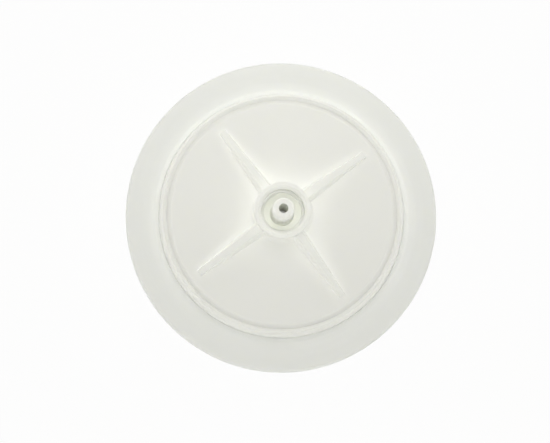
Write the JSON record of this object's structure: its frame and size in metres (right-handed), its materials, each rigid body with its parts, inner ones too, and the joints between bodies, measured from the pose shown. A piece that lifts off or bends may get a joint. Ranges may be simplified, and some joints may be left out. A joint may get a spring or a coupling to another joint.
{
  "type": "syringe filter",
  "caption": "Round disc syringe filter with a female luer-lock inlet, a ribbed male luer-lock outlet and a moulded sealing ring around its edge.",
  "frame": {"origin": "centre of the inlet's mouth, on the surface that the filter stands on", "axes": "+Z along the flow axis, from the inlet to the outlet; +X through the middle of one inlet lug; the ribs lie between X and Y"},
  "size_m": [0.058, 0.058, 0.0254],
  "materials": {
    "outlet_housing": "milky natural polypropylene, satin",
    "inlet_housing": "milky natural polypropylene, satin",
    "filter_membrane": "matt white porous film",
    "sealing_ring": "milky overmoulded polypropylene, satin"
  },
  "bodies": {
    "root": {"outlet_housing": "outlet_housing", "inlet_housing": "inlet_housing", "filter_membrane": "filter_membrane", "sealing_ring": "sealing_ring"}
  },
  "joints": []
}
